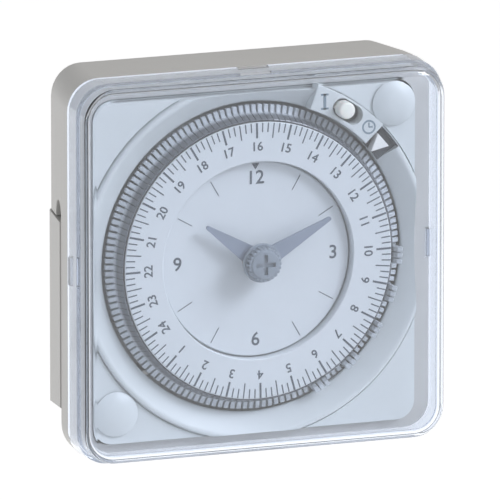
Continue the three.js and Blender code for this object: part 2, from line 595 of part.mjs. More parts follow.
// A wheel turned so that one of its gaps takes the tooth of its driver nearest the line of centres.
function meshed(follower, driver, front, back, [x, z]) {
  const towards = Math.atan2(x, z) * 180 / Math.PI;
  const pastTooth = towards % (360 / driver.teeth);
  const carried = pastTooth * driver.teeth / follower.teeth;
  const gap = 180 / follower.teeth;
  return gear(follower, front, back, towards + 180 + carried + gap).translate(x, 0, z);
}

piece('hour_wheel', cut(joined([
  rod(2.2, -0.6, MOTION_LAYER - 0.6),
  gear(HOUR_DRIVER, HOUR_LAYER, HOUR_LAYER + 1),
  gear(HOUR_WHEEL, HOUR_LAYER + 1.05, HOUR_LAYER + 2),
  rod(5, HOUR_LAYER + 0.9, HOUR_LAYER + 1.2),
]), [rod(1.4, -2, MOTION_LAYER)]), NYLON);
piece('minute_arbor', joined([
  rod(1.05, -2.6, FRAME.backBack - GAP),
  gear(CANNON, MOTION_LAYER, MOTION_LAYER + 1.2),
  gear(CENTRE_WHEEL, CENTRE_LAYER, CENTRE_LAYER + 0.9),
]), BRASS);
piece('motion_wheel', cut(joined([
  meshed(MOTION, CANNON, MOTION_LAYER + 0.1, MOTION_LAYER + 1.1, motionPlace),
  meshed(MOTION_PINION, HOUR_WHEEL, HOUR_LAYER + 1, MOTION_LAYER + 0.2, motionPlace),
]), [rod(1, HOUR_LAYER, CENTRE_LAYER, ...motionPlace)]), NYLON);
piece('day_wheel', joined([
  meshed(DAY_WHEEL, HOUR_DRIVER, HOUR_LAYER + 0.05, HOUR_LAYER + 0.95, dayPlace),
  meshed(DAY_PINION, DIAL_GEAR, 5.6, 6.8, dayPlace),
  rod(1, 5.6, FRAME.backBack - GAP, ...dayPlace),
]), NYLON);
piece('drive_pinion', joined([
  meshed(DRIVE_PINION, CENTRE_WHEEL, CENTRE_LAYER + 0.05, CENTRE_LAYER + 0.85, drivePlace),
  rod(0.8, 12, FRAME.backBack - GAP, ...drivePlace),
]), NYLON);

function frameFront() {
  const plate = slab(roundedRectangle(57, 40, 3, 0, 9.3), FRAME.front, FRAME.frontBack);
  const stud = rod(0.7, FRAME.front, CENTRE_LAYER - 0.4, ...motionPlace);
  const openings = [
    rod(2.5, FRAME.front - 1, FRAME.frontBack + 1),
    rod(1.3, FRAME.front - 1, FRAME.frontBack + 1, ...dayPlace),
    swung(box([-1.6, FRAME.front - 1, 25.8], [1.6, FRAME.frontBack + 1, 30.5]), POINTER_ANGLE),
    rod(4.5, FRAME.front - 1, FRAME.frontBack + 1, FIXING_PLACE, FIXING_PLACE),
  ];
  const [pivotRadius, pivotDepth] = LEVER_PIVOT;
  const ears = [-2.2, 2.2].map((place) => swung(cut(
    box([place - 0.5, FRAME.front, pivotRadius - 1.1], [place + 0.5, pivotDepth + 1.4, pivotRadius + 1.1]),
    [bar(0.8, -4, 4, pivotDepth, pivotRadius)]), POINTER_ANGLE));
  return joined([cut(plate, openings), stud, ...ears]);
}

function frameRear() {
  const plate = slab(roundedRectangle(56, 30, 3, 0, 7), FRAME.back, FRAME.backBack);
  const pillars = [[-24.5, 19.5], [8, 19.8], [-24.5, -5.5], [26.4, -5.6]]
    .map(([x, z]) => rod(1.2, FRAME.frontBack + GAP, FRAME.back + 0.2, x, z));
  const bores = [rod(1.35, FRAME.back - 1, FRAME.backBack + 1),
    rod(1.3, FRAME.back - 1, FRAME.backBack + 1, ...dayPlace),
    rod(1.1, FRAME.back - 1, FRAME.backBack + 1, ...drivePlace)];
  return cut(joined([plate, ...pillars]), bores);
}

// ---- feeler under the tappets, and the changeover contact that it works ----
// Built with the radius through the time pointer straight up, then swung into place.
const LEVER_PIVOT = [24.6, 11.5];
const LEAF_PIVOT = [22.9, 11.7];

function sensingLever() {
  const outline = [[24, 12.4], [23.4, 16.1], [24.1, 16.1], [25.4, 12.2], [26.3, 11.4], [28.9, 7.3], [28.9, 6.2],
    [27.8, 6.2], [25.2, 10.5], [23.9, 10.8]];
  const shape = new THREE.Shape(outline.map(([r, depth]) => new THREE.Vector2(r, depth)));
  const geometry = new THREE.ExtrudeGeometry(shape, { depth: 2, bevelEnabled: false });
  geometry.translate(0, 0, -1);
  geometry.rotateY(-Math.PI / 2);
  const pin = bar(0.55, -2.8, 2.8, LEVER_PIVOT[1], LEVER_PIVOT[0], 12);
  return joined([solid(geometry), pin]);
}

const movingContact = () => joined([
  box([-1.5, LEAF_PIVOT[1] - 0.4, 22.75], [1.5, 16.4, 23.05]),
  box([-0.8, 14.9, 22.6], [0.8, 16, 22.8]),
]);

const NEAR_LEVER = [
  ['sensing_lever', sensingLever(), NYLON],
  ['switch_body', box([-4.5, 11, 15.5], [4.5, 16.8, 21.4]), { color: '#2d2f32', roughness: 0.5 }],
  ['moving_contact', movingContact(), BRASS],
  ['fixed_contact', box([-1.2, 12.2, 21.7], [1.2, 16.2, 22.1]), BRASS],
];
NEAR_LEVER.forEach(([name, body, finish]) => piece(name, swung(body, POINTER_ANGLE), finish));

piece('frame_front', frameFront(), { color: '#cfd2d4', roughness: 0.5 });
piece('frame_rear', frameRear(), { color: '#cfd2d4', roughness: 0.5 });

// ---- motor, coil and electronics ----
const [driveX, driveZ] = drivePlace;
const GEARCASE = {
  left: driveX - 6, right: driveX + 2, low: -3, high: 16.4, front: FRAME.frontBack + GAP, back: 13.9,
};
const COIL = { x: -26, depth: 12.2, low: 1, high: 13 };

function stator() {
  const [front, back] = [COIL.depth - 0.5, COIL.depth + 0.5];
  const armEnd = GEARCASE.left - GAP;
  const lamination = box([COIL.x - 0.8, front, COIL.low - 3], [COIL.x + 0.8, back, COIL.high + 3]);
  const upperArm = box([COIL.x - 0.8, front, COIL.high + 1.4], [armEnd, back, COIL.high + 3]);
  const lowerArm = box([COIL.x - 0.8, front, COIL.low - 3], [armEnd, back, COIL.low - 1.4]);
  return joined([lamination, upperArm, lowerArm]);
}

function coil() {
  const [bore, winding, flange] = [1.35, 2.7, 3];
  const length = COIL.high - COIL.low - 0.6;
  const spool = turned([[bore, 0], [flange, 0], [flange, 0.7], [winding, 0.7], [winding, length - 0.7],
    [flange, length - 0.7], [flange, length], [bore, length]], 20);
  return spool.rotate(90, 0, 0).translate(COIL.x, COIL.depth, COIL.low + 0.3);
}

const gearcase = box([GEARCASE.left, GEARCASE.front, GEARCASE.low],
  [GEARCASE.right, GEARCASE.back, GEARCASE.high]);
piece('motor_gearcase', cut(gearcase, [rod(1.1, 11.6, 15, ...drivePlace)]), { color: '#3b3f44', roughness: 0.5 });
piece('stator', stator(), STEEL);
piece('coil', coil(), { color: '#a5522c', roughness: 0.45 });

const BOARD = { left: 14.2, right: 24.7, low: -10.4, high: 5.6, front: 12.2, back: 13.4 };
const ABOVE_BOARD = BOARD.back + GAP;

piece('circuit_board', box([BOARD.left, BOARD.front, BOARD.low], [BOARD.right, BOARD.back, BOARD.high]),
  { color: '#2f6b45', roughness: 0.45 });
const cellSide = [[0, 0], [4.3, 0], [4.5, 0.3], [4.5, 2.2], [4.1, 2.5], [0, 2.5]];
piece('reserve_cell', turned(cellSide.map(([r, depth]) => [r, ABOVE_BOARD + depth]), 28, 19.6, -5.4), STEEL);
piece('capacitor', rod(2.1, ABOVE_BOARD, ABOVE_BOARD + 3, 17, 2.4, 20), { color: '#34383f', roughness: 0.4 });
piece('quartz_can', slab(roundedRectangle(2.4, 5.4, 1.1, 22.4, 2.4), ABOVE_BOARD, ABOVE_BOARD + 2.8), STEEL);

export default group;
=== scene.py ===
import bpy
import math
from mathutils import Matrix, Vector


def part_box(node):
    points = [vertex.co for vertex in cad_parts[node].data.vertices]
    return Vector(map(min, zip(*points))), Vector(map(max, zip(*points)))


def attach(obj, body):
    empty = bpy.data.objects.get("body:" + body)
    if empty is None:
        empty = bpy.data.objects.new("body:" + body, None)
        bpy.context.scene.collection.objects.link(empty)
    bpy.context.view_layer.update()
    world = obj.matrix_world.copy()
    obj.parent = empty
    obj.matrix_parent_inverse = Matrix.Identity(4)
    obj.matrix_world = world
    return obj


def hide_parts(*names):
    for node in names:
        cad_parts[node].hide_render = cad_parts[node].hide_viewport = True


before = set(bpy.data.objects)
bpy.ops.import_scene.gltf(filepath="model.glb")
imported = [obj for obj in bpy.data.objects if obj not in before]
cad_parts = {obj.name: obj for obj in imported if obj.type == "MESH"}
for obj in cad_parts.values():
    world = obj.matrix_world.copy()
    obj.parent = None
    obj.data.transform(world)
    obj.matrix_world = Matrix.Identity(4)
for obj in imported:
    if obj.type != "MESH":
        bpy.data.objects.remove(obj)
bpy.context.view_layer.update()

# Programmable timer with a clear cover. Metres, X right, Z up, Y away from whoever faces the dial.
mm = 0.001
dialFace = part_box("program_dial")[0][1]   # the dial's printed face, depths count from here
print("frame loaded:", len(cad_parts), "nodes")


# --- small helpers ---
def at(x, depth, z):
    return Vector((x * mm, dialFace + depth * mm, z * mm))


def around(angle, radius):
    # clockwise from straight up, seen from the front
    turn = math.radians(angle)
    return radius * math.sin(turn), radius * math.cos(turn)


def turnAboutDial(angle):
    return Matrix.Rotation(math.radians(angle), 4, "Y")


def deselectAll():
    if bpy.context.mode != "OBJECT":
        bpy.ops.object.mode_set(mode="OBJECT")
    bpy.ops.object.select_all(action="DESELECT")


def makeActive(obj):
    deselectAll()
    obj.select_set(True)
    bpy.context.view_layer.objects.active = obj


def pickEdges(obj, wanted):
    # ends in edit mode with only the wanted edges selected
    makeActive(obj)
    bpy.ops.object.mode_set(mode="EDIT")
    bpy.ops.mesh.select_mode(type="EDGE")
    bpy.ops.mesh.select_all(action="DESELECT")
    bpy.ops.object.mode_set(mode="OBJECT")
    points = obj.data.vertices
    for edge in obj.data.edges:
        a, b = edge.vertices
        edge.select = bool(wanted(points[a].co, points[b].co))
    bpy.ops.object.mode_set(mode="EDIT")


def pickFaces(obj, wanted):
    makeActive(obj)
    bpy.ops.object.mode_set(mode="EDIT")
    bpy.ops.mesh.select_mode(type="FACE")
    bpy.ops.mesh.select_all(action="DESELECT")
    bpy.ops.object.mode_set(mode="OBJECT")
    for face in obj.data.polygons:
        face.select = bool(wanted(face.center, face.normal))
    bpy.ops.object.mode_set(mode="EDIT")


def bevelEdges(obj, wanted, width, segments=3):
    pickEdges(obj, wanted)
    bpy.ops.mesh.bevel(offset=width * mm, segments=segments, affect="EDGES", clamp_overlap=True)
    bpy.ops.object.mode_set(mode="OBJECT")


def alongDepth(a, b):
    return abs(a.x - b.x) < 1e-6 and abs(a.z - b.z) < 1e-6


def atDepth(depth):
    level = dialFace + depth * mm
    return lambda a, b: abs(a.y - level) < 1e-6 and abs(b.y - level) < 1e-6


def addBlock(name, low, high):
    deselectAll()
    bpy.ops.mesh.primitive_cube_add(size=1, location=(low + high) / 2, scale=high - low)
    block = bpy.context.object
    block.name = name
    bpy.ops.object.transform_apply(location=True, rotation=True, scale=True)
    return block


def addRound(name, radius, front, back, x=0, z=0, vertices=48):
    deselectAll()
    middle = at(x, (front + back) / 2, z)
    bpy.ops.mesh.primitive_cylinder_add(vertices=vertices, radius=radius * mm, depth=(back - front) * mm,
                                        location=middle, rotation=(math.pi / 2, 0, 0))
    body = bpy.context.object
    body.name = name
    bpy.ops.object.transform_apply(location=True, rotation=True, scale=True)
    return body


def drawLine(name, points):
    # one point, extruded along a line of places
    deselectAll()
    bpy.ops.mesh.primitive_plane_add(size=mm)
    line = bpy.context.object
    line.name = name
    bpy.ops.object.mode_set(mode="EDIT")
    bpy.ops.mesh.select_mode(type="VERT")
    bpy.ops.mesh.select_all(action="SELECT")
    bpy.ops.mesh.merge(type="CENTER")
    bpy.ops.transform.translate(value=points[0])
    for before, after in zip(points, points[1:]):
        bpy.ops.mesh.extrude_region_move(TRANSFORM_OT_translate={"value": after - before})
    return line


def spinProfile(name, profile, steps=96, sweep=360, start=0, x=0, z=0):
    # the profile is [radius, depth] pairs that close on themselves
    closed = profile + profile[:1]
    sx, sz = around(start, 1)
    line = drawLine(name, [at(x + r * sx, d, z + r * sz) for r, d in closed])
    bpy.ops.mesh.select_all(action="SELECT")
    bpy.ops.mesh.spin(steps=steps, angle=math.radians(sweep), center=at(x, 0, z), axis=(0, -1, 0))
    bpy.ops.mesh.select_all(action="SELECT")
    bpy.ops.mesh.remove_doubles(threshold=1e-6)
    if sweep < 360:
        bpy.ops.mesh.fill_holes(sides=0)
    bpy.ops.mesh.select_all(action="SELECT")
    bpy.ops.mesh.normals_make_consistent(inside=False)
    bpy.ops.object.mode_set(mode="OBJECT")
    return line


def fillAndThicken(line, travel):
    # closes a drawn outline into a face and pulls it out to a solid
    bpy.ops.mesh.select_all(action="SELECT")
    bpy.ops.mesh.remove_doubles(threshold=1e-6)
    bpy.ops.mesh.select_all(action="SELECT")
    bpy.ops.mesh.edge_face_add()
    bpy.ops.mesh.extrude_region_move(TRANSFORM_OT_translate={"value": travel})
    bpy.ops.mesh.select_all(action="SELECT")
    bpy.ops.mesh.normals_make_consistent(inside=False)
    bpy.ops.object.mode_set(mode="OBJECT")
    return line


def boolean(obj, tool, operation):
    makeActive(obj)
    step = obj.modifiers.new(operation.lower(), "BOOLEAN")
    step.operation = operation
    step.object = tool
    step.solver = "EXACT"
    bpy.ops.object.modifier_apply(modifier=step.name)
    bpy.data.objects.remove(tool, do_unlink=True)
    return obj


def roundEdges(obj, width, segments=2, angle=30):
    makeActive(obj)
    step = obj.modifiers.new("edges", "BEVEL")
    step.width = width * mm
    step.segments = segments
    step.limit_method = "ANGLE"
    step.angle_limit = math.radians(angle)
    step.use_clamp_overlap = True
    bpy.ops.object.modifier_apply(modifier=step.name)
    return obj


def joinAll(objects, name):
    deselectAll()
    for obj in objects:
        obj.select_set(True)
    bpy.context.view_layer.objects.active = objects[0]
    bpy.ops.object.join()
    objects[0].name = name
    return objects[0]


def moved(obj, place):
    # puts a turn or shift into the mesh itself
    makeActive(obj)
    obj.matrix_world = place @ obj.matrix_world
    bpy.ops.object.transform_apply(location=True, rotation=True, scale=True)
    return obj


def copied(obj, name, place):
    twin = obj.copy()
    twin.data = obj.data.copy()
    twin.name = name
    bpy.context.collection.objects.link(twin)
    twin.data.transform(place)
    return twin


def repeatedRound(obj, count):
    # a ring of copies about the dial's axis
    deselectAll()
    bpy.ops.object.empty_add(rotation=(0, math.radians(360 / count), 0))
    turner = bpy.context.object
    bpy.context.view_layer.update()
    makeActive(obj)
    step = obj.modifiers.new("round", "ARRAY")
    step.count = count
    step.use_relative_offset = False
    step.use_object_offset = True
    step.offset_object = turner
    bpy.ops.object.modifier_apply(modifier=step.name)
    bpy.data.objects.remove(turner, do_unlink=True)
    return obj


def refinedCopy(node, width, segments=2, angle=30):
    # the CAD solid itself, merged and with its hard edges broken
    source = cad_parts[node]
    piece = source.copy()
    piece.data = source.data.copy()
    bpy.context.collection.objects.link(piece)
    piece.parent = None
    makeActive(piece)
    bpy.ops.mesh.customdata_custom_splitnormals_clear()
    bpy.ops.object.mode_set(mode="EDIT")
    bpy.ops.mesh.select_all(action="SELECT")
    bpy.ops.mesh.remove_doubles(threshold=2e-6)
    bpy.ops.mesh.dissolve_limited(angle_limit=math.radians(0.5))
    bpy.ops.object.mode_set(mode="OBJECT")
    return roundEdges(piece, width, segments, angle)


def finished(obj, name, material, body, stands=(), smooth=32):
    makeActive(obj)
    bpy.ops.object.shade_smooth_by_angle(angle=math.radians(smooth))
    # keeps flat faces flat beside rounded edges
    level = obj.modifiers.new("flatFaces", "WEIGHTED_NORMAL")
    level.keep_sharp = True
    bpy.ops.object.modifier_apply(modifier=level.name)
    obj.name = name
    obj.data.name = name
    obj.data.materials.clear()
    obj.data.materials.append(material)
    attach(obj, body)
    if stands:
        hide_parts(*stands)
    return obj


# --- materials ---
def linearColour(hexValue):
    parts = [int(hexValue[i:i + 2], 16) / 255 for i in (1, 3, 5)]
    return [c / 12.92 if c <= 0.04045 else ((c + 0.055) / 1.055) ** 2.4 for c in parts] + [1]


def addNode(tree, kind, settings=None, links=None):
    node = tree.nodes.new(kind)
    for key, value in (settings or {}).items():
        if isinstance(key, str) and hasattr(node, key):
            setattr(node, key, value)
        else:
            node.inputs[key].default_value = value
    for key, output in (links or {}).items():
        tree.links.new(output, node.inputs[key])
    return node


def newMaterial(name):
    material = bpy.data.materials.new(name)
    material.use_nodes = True
    tree = material.node_tree
    tree.nodes.clear()
    output = tree.nodes.new("ShaderNodeOutputMaterial")
    place = addNode(tree, "ShaderNodeTexCoord").outputs["Object"]
    return material, tree, output, place


def tonesBetween(tree, factor, first, second):
    # sockets 6 and 7 of a colour mix are its two colours, and output 2 is its result
    tone = addNode(tree, "ShaderNodeMix", {"data_type": "RGBA"}, {"Factor": factor})
    tone.inputs[6].default_value = linearColour(first)
    tone.inputs[7].default_value = linearColour(second)
    return tone.outputs[2]


def noiseAt(tree, place, size, detail):
    return addNode(tree, "ShaderNodeTexNoise", {"Scale": 1 / (size * mm), "Detail": detail},
                   {"Vector": place})


def reliefFrom(tree, height, strength, distance):
    return addNode(tree, "ShaderNodeBump", {"Strength": strength, "Distance": distance * mm},
                   {"Height": height})


def mouldedPlastic(name, colour, shade, roughness, grain, relief, sheenDrift=0.06, subsurface=0):
    # injection moulded, so a fine spark-eroded grain and a very slight drift of tone over the part
    material, tree, output, place = newMaterial(name)
    drift = noiseAt(tree, place, 14, 2.0)
    tone = tonesBetween(tree, drift.outputs["Fac"], colour, shade)
    texture = noiseAt(tree, place, grain, 3.0)
    texture.inputs["Roughness"].default_value = 0.55
    gloss = addNode(tree, "ShaderNodeMapRange",
                    {"To Min": roughness - sheenDrift, "To Max": roughness + sheenDrift},
                    {"Value": texture.outputs["Fac"]})
    bump = reliefFrom(tree, texture.outputs["Fac"], 0.5, relief)
    shader = addNode(tree, "ShaderNodeBsdfPrincipled",
                     {"IOR": 1.53, "Subsurface Weight": subsurface, "Subsurface Scale": 0.6 * mm},
                     {"Base Color": tone, "Roughness": gloss.outputs["Result"],
                      "Normal": bump.outputs["Normal"]})
    tree.links.new(shader.outputs["BSDF"], output.inputs["Surface"])
    return material


def smokedStyrene(name, bladeShadeColour, footLightColour, bladeShadeEnd, footLightStart):
    # painted shade and light: dark where the blade stands on edge, for its shade, paler where the foot lies
    # flat, for the light on it
    material, tree, output, place = newMaterial(name)
    flat = addNode(tree, "ShaderNodeMapping", {"Scale": (1, 0, 1)}, {"Vector": place})
    radius = addNode(tree, "ShaderNodeVectorMath", {"operation": "LENGTH"}, {0: flat.outputs["Vector"]})
    # radius mask: painted shade on the blade inside it, painted light on the foot beyond it
    reach = addNode(tree, "ShaderNodeMapRange", {"From Min": bladeShadeEnd * mm, "From Max": footLightStart * mm},
                    {"Value": radius.outputs["Value"]})
    flow = noiseAt(tree, place, 5, 2.0)
    cloud = addNode(tree, "ShaderNodeMapRange", {"To Min": -0.06, "To Max": 0.06},
                    {"Value": flow.outputs["Fac"]})
    level = addNode(tree, "ShaderNodeMath", {"operation": "ADD", "use_clamp": True},
                    {0: reach.outputs["Result"], 1: cloud.outputs["Result"]})
    tone = tonesBetween(tree, level.outputs["Value"], bladeShadeColour, footLightColour)
    grain = noiseAt(tree, place, 0.3, 2.0)
    gloss = addNode(tree, "ShaderNodeMapRange", {"To Min": 0.2, "To Max": 0.3},
                    {"Value": grain.outputs["Fac"]})
    bump = reliefFrom(tree, grain.outputs["Fac"], 0.4, 0.003)
    shader = addNode(tree, "ShaderNodeBsdfPrincipled", {"IOR": 1.59},
                     {"Base Color": tone, "Roughness": gloss.outputs["Result"],
                      "Normal": bump.outputs["Normal"]})
    tree.links.new(shader.outputs["BSDF"], output.inputs["Surface"])
    return material


def workedMetal(name, colour, roughness, streak, along, relief=0.004):
    # drawn or turned metal, with fine lines one way
    material, tree, output, place = newMaterial(name)
    stretch = [1 / (streak * mm)] * 3
    stretch["XYZ".index(along)] *= 0.04
    lines = addNode(tree, "ShaderNodeMapping", {"Scale": stretch}, {"Vector": place})
    texture = addNode(tree, "ShaderNodeTexNoise", {"Scale": 1.0, "Detail": 2.0},
                      {"Vector": lines.outputs["Vector"]})
    gloss = addNode(tree, "ShaderNodeMapRange", {"To Min": roughness - 0.07, "To Max": roughness + 0.1},
                    {"Value": texture.outputs["Fac"]})
    bump = reliefFrom(tree, texture.outputs["Fac"], 0.4, relief)
    shader = addNode(tree, "ShaderNodeBsdfPrincipled", {"Base Color": linearColour(colour), "Metallic": 1.0},
                     {"Roughness": gloss.outputs["Result"], "Normal": bump.outputs["Normal"]})
    tree.links.new(shader.outputs["BSDF"], output.inputs["Surface"])
    return material


def bandedMaterial(name, colour, shade, pitch, axis, roughness, metallic=0.0, relief=0.06):
    # rows laid side by side: turns of wire, or stacked sheets. The darker tone is painted shade in the
    # grooves between wire turns, and dark joints between stacked sheets
    material, tree, output, place = newMaterial(name)
    bands = addNode(tree, "ShaderNodeTexWave", {"wave_type": "BANDS", "bands_direction": axis,
                                                "Scale": 0.314 / (pitch * mm), "Distortion": 0.4},
                    {"Vector": place})
    tone = tonesBetween(tree, bands.outputs["Fac"], shade, colour)
    bump = reliefFrom(tree, bands.outputs["Fac"], 0.8, relief)
    shader = addNode(tree, "ShaderNodeBsdfPrincipled", {"Roughness": roughness, "Metallic": metallic},
                     {"Base Color": tone, "Normal": bump.outputs["Normal"]})
    tree.links.new(shader.outputs["BSDF"], output.inputs["Surface"])
    return material


def polishedClear(name, tint, ior, roughness, ripple):
    # clear moulding: sharp reflections and a faint blue in the thickness. It lets the lamps through, and a
    # ray caught between its faces goes straight on, or thick edges turn black
    material, tree, output, place = newMaterial(name)
    flow = noiseAt(tree, place, 18, 1.0)
    bump = reliefFrom(tree, flow.outputs["Fac"], 0.2, ripple)
    glass = addNode(tree, "ShaderNodeBsdfPrincipled",
                    {"Base Color": linearColour(tint), "IOR": ior, "Roughness": roughness,
                     "Transmission Weight": 1.0}, {"Normal": bump.outputs["Normal"]})
    lampWay = addNode(tree, "ShaderNodeBsdfTransparent", {"Color": linearColour("#F4F8FF")})
    path = addNode(tree, "ShaderNodeLightPath")
    trapped = addNode(tree, "ShaderNodeMath", {"operation": "GREATER_THAN", 1: 4.5},
                      {0: path.outputs["Transmission Depth"]})
    escape = addNode(tree, "ShaderNodeMath", {"operation": "MAXIMUM"},
                     {0: path.outputs["Is Shadow Ray"], 1: trapped.outputs["Value"]})
    mixed = addNode(tree, "ShaderNodeMixShader", {}, {0: escape.outputs["Value"],
                                                      1: glass.outputs["BSDF"], 2: lampWay.outputs["BSDF"]})
    tree.links.new(mixed.outputs["Shader"], output.inputs["Surface"])
    return material


# warm light grey ABS, satin from the mould, the case and what closes it at the back
caseAbs = mouldedPlastic("warmGreyAbs", "#BFBEBC", "#BBBAB8", 0.48, 0.35, 0.02)
# pale blue-grey ABS, finer grain, as a smooth satin sheet
plateAbs = mouldedPlastic("paleGreyAbs", "#D6DADA", "#D2D7D8", 0.42, 0.2, 0.008)
# white ABS for printed parts, nearly grainless so the print stays crisp
dialAbs = mouldedPlastic("printedWhiteAbs", "#DADDDF", "#D6DADC", 0.45, 0.18, 0.006)
# smoked styrene, see-through in the real part, given here by two greys: painted shade on the steep blade and
# painted light on the flat foot
tappetStyreneShadeAndLight = smokedStyrene("smokedStyrene", "#62666C", "#C0C5CA", 27.1, 27.4)
# blue-grey ABS of the hands and the knob, an even satin
handAbs = mouldedPlastic("blueGreyAbs", "#8D95A3", "#878F9E", 0.38, 0.22, 0.006)
knobAbs = mouldedPlastic("knobGreyAbs", "#8D959E", "#878F99", 0.32, 0.25, 0.006)
# acetal, creamy and a touch waxy
creamAcetal = mouldedPlastic("creamAcetal", "#FBF7EC", "#F7F3E7", 0.35, 0.3, 0.006, 0.05, 0.1)
whiteAcetal = mouldedPlastic("whiteAcetal", "#F5F3EF", "#F0EEEA", 0.38, 0.3, 0.006)
# natural nylon wheels and levers, dull and a little yellow
naturalNylon = mouldedPlastic("naturalNylon", "#E9E4D6", "#E0DAC9", 0.5, 0.4, 0.01, 0.06, 0.15)
frameAbs = mouldedPlastic("frameGreyAbs", "#D0D3D5", "#C8CBCD", 0.5, 0.4, 0.015)
darkPhenolic = mouldedPlastic("darkPhenolic", "#3A3D41", "#313438", 0.42, 0.3, 0.012)
blockNylon = mouldedPlastic("greyNylon", "#8E9295", "#858A8D", 0.52, 0.4, 0.02)
# pad printing, a thin flat film of grey ink
printInk = mouldedPlastic("padPrintInk", "#4E5762", "#49525D", 0.5, 0.25, 0.003)
paleInk = mouldedPlastic("palePadPrintInk", "#7F909C", "#788A97", 0.5, 0.25, 0.003)
# painted shade: a dark sheet behind the time pointer, standing for the shade deep in the recess
paintedShadeSheet = mouldedPlastic("paintedRecessShade", "#45494E", "#404449", 0.55, 0.25, 0.004)
# zinc plated steel and plain brass
zincSteel = workedMetal("zincPlatedSteel", "#C6C8CA", 0.3, 0.15, "Z")
plainBrass = workedMetal("drawnBrass", "#CBAA62", 0.28, 0.12, "Y")
# nickel plated brass of the terminal clamps
nickelBrass = workedMetal("nickelPlatedBrass", "#B9B6AF", 0.32, 0.14, "Y")
# the dark brown bands are painted shade in the grooves between turns
copperWire = bandedMaterial("varnishedCopperWire", "#B5622F", "#5E2A14", 0.24, "Z", 0.32)
laminatedSteel = bandedMaterial("laminatedSteel", "#B9BABB", "#8C8E90", 0.35, "Y", 0.38, 1.0, 0.02)
solderMask = mouldedPlastic("greenSolderMask", "#2E6E4A", "#276242", 0.3, 0.9, 0.02)
clearPolycarbonate = polishedClear("clearPolycarbonate", "#F1F6FE", 1.58, 0.02, 0.02)
print("materials made")


# --- clear cover ---
coverSizes = {"size": 72, "front": -5.4, "back": 3.5, "corner": 6, "draft": 0.35, "edge": 1.8, "wall": 1.1,
              "step": {"front": -1.3, "back": -0.9, "inset": 0.45},
              "hook": {"place": 34.8, "halfWidth": 0.4, "halfHeight": 2.6, "from": 3.0, "to": 3.9,
                       "edge": 0.1},
              "notch": {"halfWidth": 3, "front": 2.3, "back": 4, "into": 1.6, "beyond": 1}}


def makeCover():
    s = coverSizes
    half = s["size"] / 2
    cover = addBlock("clearCover", at(-half, s["front"], -half), at(half, s["back"], half))
    bevelEdges(cover, alongDepth, s["corner"], 10)
    pickFaces(cover, lambda centre, normal: normal.y < -0.9)
    shrink = 1 - 2 * s["draft"] / s["size"]
    bpy.ops.transform.resize(value=(shrink, 1, shrink))
    for level in (s["step"]["back"], s["step"]["front"]):
        pickFaces(cover, lambda centre, normal: True)
        bpy.ops.mesh.bisect(plane_co=at(0, level, 0), plane_no=(0, 1, 0))
        bpy.ops.object.mode_set(mode="OBJECT")
    ahead = dialFace + (s["step"]["front"] + 0.01) * mm
    pickEdges(cover, lambda a, b: a.y < ahead and b.y < ahead)
    narrow = 1 - 2 * s["step"]["inset"] / s["size"]
    bpy.ops.transform.resize(value=(narrow, 1, narrow), center_override=at(0, 0, 0))
    bpy.ops.object.mode_set(mode="OBJECT")
    bevelEdges(cover, atDepth(s["front"]), s["edge"], 9)
    pickFaces(cover, lambda centre, normal: normal.y > 0.9)
    bpy.ops.mesh.delete(type="FACE")
    bpy.ops.object.mode_set(mode="OBJECT")
    wall = cover.modifiers.new("wall", "SOLIDIFY")
    wall.thickness = s["wall"] * mm
    wall.offset = -1
    wall.use_even_offset = True
    makeActive(cover)
    bpy.ops.object.modifier_apply(modifier="wall")
    hooks = s["hook"]
    across, upright = hooks["halfWidth"], hooks["halfHeight"]
    for side in (-1, 1):
        place = side * hooks["place"]
        hook = addBlock("hook", at(place - across, hooks["from"], -upright),
                        at(place + across, hooks["to"], upright))
        bevelEdges(hook, atDepth(hooks["to"]), hooks["edge"], 2)
        boolean(cover, hook, "UNION")
    n = s["notch"]
    notch = addBlock("notch", at(-n["halfWidth"], n["front"], half - n["into"]),
                     at(n["halfWidth"], n["back"], half + n["beyond"]))
    return boolean(cover, notch, "DIFFERENCE")


finished(makeCover(), "coverShell", clearPolycarbonate, "cover", ["clear_cover"], 40)
print("cover made")


# --- case, terminal cover, foot and terminals: the CAD solids with broken edges ---
slotFiller = {"halfWidth": 0.8, "halfHeight": 3, "front": 4.1, "back": 6.5}
refinedPieces = [
    # node, name, edge width, material, body, slot
    ("case", "caseShell", 0.22, caseAbs, "housing", "case_plastic"),
    ("terminal_cover", "terminalCover", 0.2, caseAbs, "lower_cover", "case_plastic"),
    ("rail_foot", "railFoot", 0.3, caseAbs, "housing", "case_plastic"),
    ("rail_clip", "railClip", 0.2, naturalNylon, "clip", "nylon"),
    ("terminal_block", "terminalBlock", 0.15, blockNylon, "housing", "block_plastic"),
]


def fillHookSlots(case):
    # the hook slots are filled, or they show dark through the cover
    s = slotFiller
    for side in (-1, 1):
        place = side * coverSizes["hook"]["place"]
        filler = addBlock("filler", at(place - s["halfWidth"], s["front"], -s["halfHeight"]),
                          at(place + s["halfWidth"], s["back"], s["halfHeight"]))
        boolean(case, filler, "UNION")


for node, name, width, material, body, slotName in refinedPieces:
    piece = refinedCopy(node, width)
    if node == "case":
        fillHookSlots(piece)
    finished(piece, name, material, body, [node])
print("case made")


# --- front plate with its raised ring, plateau, recess and slot ---
plateSizes = {"edges": (-31.6, -33, 31.6, 31.2), "front": 2.2, "back": 3.4, "corner": 3.6, "edge": 0.12,
              "ringOuter": 34.2, "crest": 1.3, "well": 29.4, "holeInset": 1.4,
              "groove": {"above": 1.2, "below": 0.6, "width": 0.28},
              "plateau": (20.4, 46.4), "plateauFront": 0.6, "plateauEdge": 0.2,
              "recess": (46.6, 55.6), "recessFloor": 2.8,
              "slotAngle": 33.6, "slotRadius": 32.1, "slotWidth": 3.6, "slotLength": 6.4,
              "capPlace": 27.3, "capBore": 2.9, "skirtWall": 1, "skirtBack": 6}
